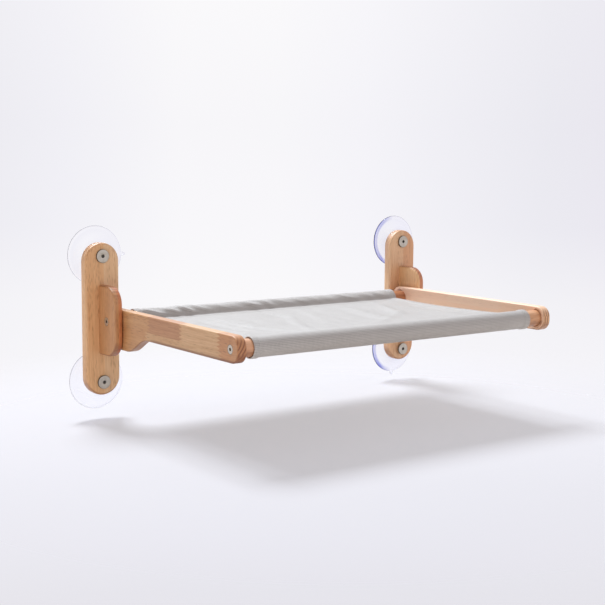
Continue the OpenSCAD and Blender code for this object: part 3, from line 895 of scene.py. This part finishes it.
def sheetZ(x, share):
    # height of the sheet at x, and at a share of the way from the rear seam to the front one
    y, across = sheetY(share), (x - bedLow.x) / (bedHigh.x - bedLow.x)
    z = canvas["rearSeamZ"] + (canvas["frontSeamZ"] - canvas["rearSeamZ"]) * share
    z -= canvas["sag"] * sin(pi * share) * (1 + 2 * sin(pi * across)) / 3
    edge = min(1.0, 4 * share, 4 * (1 - share))
    if edge <= 0:
        return z
    z += foldHeight(x, y) * edge
    bend = canvas["rippleBend"] * unevenness(x, y, canvas["rippleSize"], 0.3)
    z += canvas["ripple"] * edge * sin(x / canvas["rippleLength"] + bend)
    return z + canvas["swell"] * edge * unevenness(x, y, canvas["swellSize"], 1.7)


def seamAngles(centre, radius, point):
    # the direction of a seam from a sleeve's centre, and how far from there the cloth leaves the round part
    away = atan2(point[1] - centre[1], point[0] - centre[0])
    return away, acos(radius / hypot(point[0] - centre[0], point[1] - centre[1]))


def onArc(centre, radius, fromAngle, toAngle, share):
    while toAngle < fromAngle:
        toAngle += 2 * pi
    angle = fromAngle + (toAngle - fromAngle) * share
    return centre[0] + radius * cos(angle), centre[1] + radius * sin(angle)


def rowPoint(x, section, share):
    # A point of the cloth's middle line in the YZ plane, by section and share along it. The sections are the
    # rear flap, three round the rear dowel, the sheet, three round the front dowel and the front flap.
    reach = canvas["flap"] / (rearSeamY - frontSeamY)
    rearTop = (rearSeamY, sheetZ(x, 0))
    frontTop = (frontSeamY, sheetZ(x, 1))
    rearLow = (rearTop[0], rearTop[1] - canvas["drop"])
    frontLow = (frontTop[0], frontTop[1] - canvas["drop"])
    if section in (0, 8):
        below = reach * (1 - share) if section == 0 else 1 - reach * share
        return sheetY(below), sheetZ(x, below) - canvas["drop"]
    if section == 4:
        return sheetY(share), sheetZ(x, share)
    if section < 4:
        centre, radius, first, last = rearC, canvas["rearR"], rearLow, rearTop
    else:
        centre, radius, first, last = frontC, canvas["frontR"], frontTop, frontLow
    away, spread = seamAngles(centre, radius, first)
    fromAngle = away + spread
    away, spread = seamAngles(centre, radius, last)
    arc = partial(onArc, centre, radius, fromAngle, away - spread)
    if section in (2, 6):
        return arc(share)
    start, end = (first, arc(0)) if section in (1, 5) else (arc(1), last)
    return start[0] + (end[0] - start[0]) * share, start[1] + (end[1] - start[1]) * share


def sectionLengths():
    lengths = []
    for section in range(9):
        points = [rowPoint(0.0, section, k / 40) for k in range(41)]
        steps = zip(points, points[1:])
        lengths.append(sum(hypot(end[0] - start[0], end[1] - start[1]) for start, end in steps))
    return lengths


runs = sectionLengths()
cutLength = sum(runs)
loopStarts = (sum(runs[:2]), sum(runs[:6]))    # where the rear and the front sleeve's round parts start


def plainPoint(x, run):
    # the same point by its distance along the cut
    run = min(max(run, 0.0), cutLength)
    for section, length in enumerate(runs):
        if run <= length or section == 8:
            return rowPoint(x, section, min(run / length, 1.0))
        run -= length


def rearPulls(x, rearRun):
    fromSeam, margin = runs[2] - rearRun, pulls["margin"]
    inside = clamp(min((rearRun + margin) / pulls["rise"], (fromSeam + margin) / pulls["fall"]))
    strong = clamp((pulls["reach"] - fromSeam) / pulls["reachFade"])
    inside *= pulls["hidden"] + (1 - pulls["hidden"]) * strong
    low, high = pulls["strength"]
    inside *= clamp(high - fromSeam / pulls["strengthFade"], low, high)
    height = pulls["height"] + pulls["leftHeight"] * exp(-(x - bedLow.x) / pulls["leftLength"])
    phase = (x + pulls["lean"] * fromSeam) / pulls["pitch"]
    phase += pulls["wander"] * unevenness(x, rearRun, pulls["wanderSize"], 4.0)
    ridge = 1 - abs(2 * (phase % 1) - 1)
    share = pulls["share"] + pulls["vary"] * unevenness(x, rearRun, pulls["varySize"], 9.0)
    lump = unevenness(x + pulls["lumpLean"] * fromSeam, rearRun, pulls["lumpSize"], 7.0)
    return inside * height * (max(0.0, share) * ridge ** pulls["sharpness"] + pulls["lumps"] * lump)


def wrinkle(x, run):
    # how far the cloth stands out in its pulls
    rearRun, frontRun = run - loopStarts[0], run - loopStarts[1]
    if -pulls["margin"] < rearRun < runs[2] + pulls["margin"]:
        return rearPulls(x, rearRun)
    if 0 < frontRun < runs[6]:
        inside = clamp(min(frontRun, runs[6] - frontRun) / pulls["frontFade"])
        return inside * pulls["front"] * (1 + unevenness(x, frontRun, pulls["frontSize"], 2.0))
    return 0.0


def hemLift(inward):
    # how far the cloth stands out over its hem, by distance from the sleeve's end
    hem, lift = canvas["hem"], canvas["hemLift"]
    if inward < hem:
        return lift - canvas["pinch"] * exp(-((inward - canvas["hemStitch"]) / canvas["pinchWidth"]) ** 2)
    fade = min(1.0, (inward - hem) / canvas["hemFade"])
    return lift * (1 - fade * fade * (3 - 2 * fade))


def clothPoint(x, run, layer=1.0):
    # The finished cloth's point and normal. Layer 1 is the outer one, and 0 the hem turned in under it.
    corner = canvas["corner"]
    step = corner if 2 * corner < run < cutLength - 2 * corner else 0.05
    near = [plainPoint(x, run + k * step) for k in (-2, -1, 0, 1, 2)]
    # averages of neighbours round the corners, as cloth does
    before, here, after = (
        tuple((first[k] + 2 * second[k] + third[k]) / 4 for k in (0, 1))
        for first, second, third in zip(near, near[1:], near[2:]))
    dy, dz = after[0] - before[0], after[1] - before[1]
    size = hypot(dy, dz) or 1.0
    normal = (dz / size, -dy / size)
    inward = min(x - bedLow.x, bedHigh.x - x)
    out = hemLift(inward) - canvas["hemLift"] * (1 - layer)
    fromEnd = clamp((inward - canvas["hem"] / 2) / 10)
    out += wrinkle(x, run) * (pulls["ends"] + (1 - pulls["ends"]) * fromEnd)
    return (x, here[0] + normal[0] * out, here[1] + normal[1] * out), normal


def columnPlaces():
    # (x, layer) across the cut, from one raw edge to the other
    hem, half = canvas["hem"], canvas["hemLift"] / 2
    left = [(bedLow.x + half + (hem - half) * (1 - k / 5), 0.0) for k in range(6)]
    left += [(bedLow.x + half - half * sin(pi * k / 5), 0.5 - 0.5 * cos(pi * k / 5)) for k in range(1, 5)]
    steps = (0, 1.2, 2.4, 3.6, 4.4, 5.0, 5.5, 6.0, 6.6, 7.3, 8.2, 9.2, 10.4)    # closer at the stitch row
    left += [(bedLow.x + half + d, 1.0) for d in steps]
    start = left[-1][0]
    count = int((bedHigh.x - bedLow.x) / canvas["column"])
    end = bedHigh.x - (start - bedLow.x)
    middle = [(start + (end - start) * k / count, 1.0) for k in range(1, count)]
    right = [(bedHigh.x - (x - bedLow.x), layer) for x, layer in reversed(left)]
    return left + middle + right


def rowPlaces():
    # distances along the cut, closer on the bends
    steps = (5, 3, 44, 3, 84, 3, 42, 3, 5)
    places, at = [], 0.0
    for length, count in zip(runs, steps):
        places += [at + length * k / count for k in range(count)]
        at += length
    return places + [at]


def canvasMaterial():
    material, add, shader = newMaterial("wovenCanvas")
    uv = add("UVMap", uv_map="cutInMetres")
    threads = add("VectorMath", {0: uv, "Scale": 1 / mm / canvas["weave"]}, operation="SCALE")
    # over and under: each thread's rounded back shows on every other square
    backs = add("VectorMath", {0: threads, "Scale": pi}, operation="SCALE")
    backs = add("VectorMath", [backs], operation="SINE")
    backs = add("VectorMath", [backs], operation="ABSOLUTE")
    warp, weft = (add("SeparateXYZ", [backs], axis) for axis in "XY")
    over = add("TexChecker", {"Vector": threads, "Scale": 1.0}, "Fac")
    weave = add("Mix", {0: over, 2: weft, 3: warp})
    slubs = []
    for stretch in ((0.9, 0.05, 1), (0.05, 0.9, 1)):
        place = add("VectorMath", [threads, stretch], operation="MULTIPLY")
        slubs.append(add("TexNoise", {"Vector": place, "Scale": 1.0, "Detail": 2.0}))
    uneven = add("Mix", {0: 0.5, 2: slubs[0], 3: slubs[1]})
    tone = add("Mix", {0: 1 - canvas["weaveShare"], 2: weave, 3: uneven})
    tone = add("MapRange", [tone, *canvas["toneSpan"]])
    shades = {0: tone, 6: linear(canvas["shadeHex"]), 7: linear(canvas["hex"])}
    bump = add("Bump", {
        "Height": weave, "Strength": canvas["reliefShare"], "Distance": canvas["relief"] * mm})
    fill(shader, {
        "Base Color": add("Mix", shades, 2, data_type="RGBA"), "Roughness": canvas["roughness"],
        "Specular IOR Level": canvas["specular"], "Sheen Weight": canvas["sheen"],
        "Sheen Roughness": canvas["sheenRoughness"], "Sheen Tint": linear(canvas["sheenHex"]), "Normal": bump,
    })
    return material


def makeBed():
    columns, rows = columnPlaces(), rowPlaces()
    bm = bmesh.new()
    uvs = bm.loops.layers.uv.new("cutInMetres")
    bmesh.ops.create_grid(bm, x_segments=len(columns) - 1, y_segments=len(rows) - 1, size=1.0)
    # where each column lies across the flat cut
    across, at = [0.0], columns[0]
    for place in columns[1:]:
        across.append(across[-1] + hypot(place[0] - at[0], (place[1] - at[1]) * canvas["hemLift"]))
        at = place
    cut = {}
    for v in bm.verts:
        column = round((v.co.x + 1) / 2 * (len(columns) - 1))
        run = rows[round((v.co.y + 1) / 2 * (len(rows) - 1))]
        cut[v] = (across[column] * mm, run * mm)
        x, layer = columns[column]
        v.co = Vector(clothPoint(x, run, layer)[0]) * mm
    for face in bm.faces:
        for loop in face.loops:
            loop[uvs].uv = cut[loop.vert]
    mesh = meshFrom(bm, "canvasBed")
    mesh.shade_smooth()
    bed = addObject("canvasBed", mesh)
    dress(bed, canvasMaterial())
    skin = bed.modifiers.new("clothThickness", "SOLIDIFY")
    skin.thickness = canvas["thickness"] * mm
    skin.offset = 0
    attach(bed, "bed_frame")
    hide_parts("fabric_bed")
    print("bed: cut", round(across[-1]), "x", round(cutLength), "mm,", len(mesh.polygons), "faces")
    return bed, across[-1]


canvasBed, cutWidth = makeBed()


# Stitches

# Polyester thread, spun: matt, a shade lighter than the cloth
yarn = {
    "hex": "#d8d3cd", "darkHex": canvas["hex"], "specks": 1.6, "roughness": 0.7, "metallic": 0.0,
    "radius": 0.24,
    "pitch": 3.4,
    "length": 2.5,
    "ends": 0.6,            # the thread's thickness at the stitch's ends, as a share
    "dip": -0.25,           # height of the stitch's ends over the cloth, and of its back
    "back": 0.22,
    "bend": 0.22,           # where the stitch comes up, as a share of its length
    "fromSeam": 1.6,        # distance of the two stitch rows from a seam
    "fromSeam2": 10.4,
    "start": 2.4,
}

threadMaterial = speckledMaterial("spunThread", yarn)


def stitchRow(curve, first, along, count, side=1):
    # A row of stitches from a place (x, run) on the cloth, along x or along the run.
    # Side 1 is the cloth's outer face, and -1 the inner face of its hem.
    lift, bend, thin = canvas["thickness"] / 2, yarn["bend"], yarn["ends"]
    shape = ((0, yarn["dip"], thin), (bend, yarn["back"], 1.0),
             (1 - bend, yarn["back"], 1.0), (1, yarn["dip"], thin))
    for k in range(count):
        ends = []
        for at in (k * yarn["pitch"], k * yarn["pitch"] + yarn["length"]):
            place = (first[0] + along[0] * at, first[1] + along[1] * at)
            point, (ny, nz) = clothPoint(*place, max(side, 0))
            ends.append((Vector(point), Vector((0, ny, nz)) * side))
        (start, startUp), (end, endUp) = ends
        spline = curve.splines.new("POLY")
        spline.points.add(3)
        for knot, (share, height, radius) in zip(spline.points, shape):
            place = start.lerp(end, share) + startUp.lerp(endUp, share) * (lift + height)
            knot.co = (*(place * mm), 1)
            knot.radius = radius


def newThread(name):
    curve = bpy.data.curves.new(name, "CURVE")
    curve.dimensions = "3D"
    curve.bevel_depth = yarn["radius"] * mm
    curve.bevel_resolution = 1
    thread = addObject(name, curve)
    dress(thread, threadMaterial)
    return thread


def makeStitches():
    pitch, near, far = (yarn[k] for k in ("pitch", "fromSeam", "fromSeam2"))
    seam, hem = newThread("seamStitches"), newThread("hemStitches")
    # rows along the dowels, through the sheet and the sleeve's turned edge
    sheetStart, sheetEnd = sum(runs[:4]), sum(runs[:5])
    rows = [sheetStart + near, sheetStart + far, sheetEnd - near, sheetEnd - far]
    rows += [runs[0] - near, runs[0] - far, cutLength - runs[8] + near, cutLength - runs[8] + far]
    for run in rows:
        first = (bedLow.x + yarn["start"], run)
        stitchRow(seam.data, first, (1, 0), int((bedHigh.x - bedLow.x - 4) / pitch))
    # rows down each hem, over both sleeves and across the sheet
    inner = int((runs[4] - 2 * canvas["flap"]) / pitch)
    for x in (bedLow.x + canvas["hemStitch"], bedHigh.x - canvas["hemStitch"]):
        stitchRow(hem.data, (x, 1.0), (0, 1), int(cutLength / pitch))
        stitchRow(hem.data, (x, sheetStart + canvas["flap"] + 1), (0, 1), inner, -1)
    for thread in (seam, hem):
        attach(thread, "bed_frame")
    print("stitches:", len(seam.data.splines) + len(hem.data.splines))
    return [seam, hem]


stitches = makeStitches()
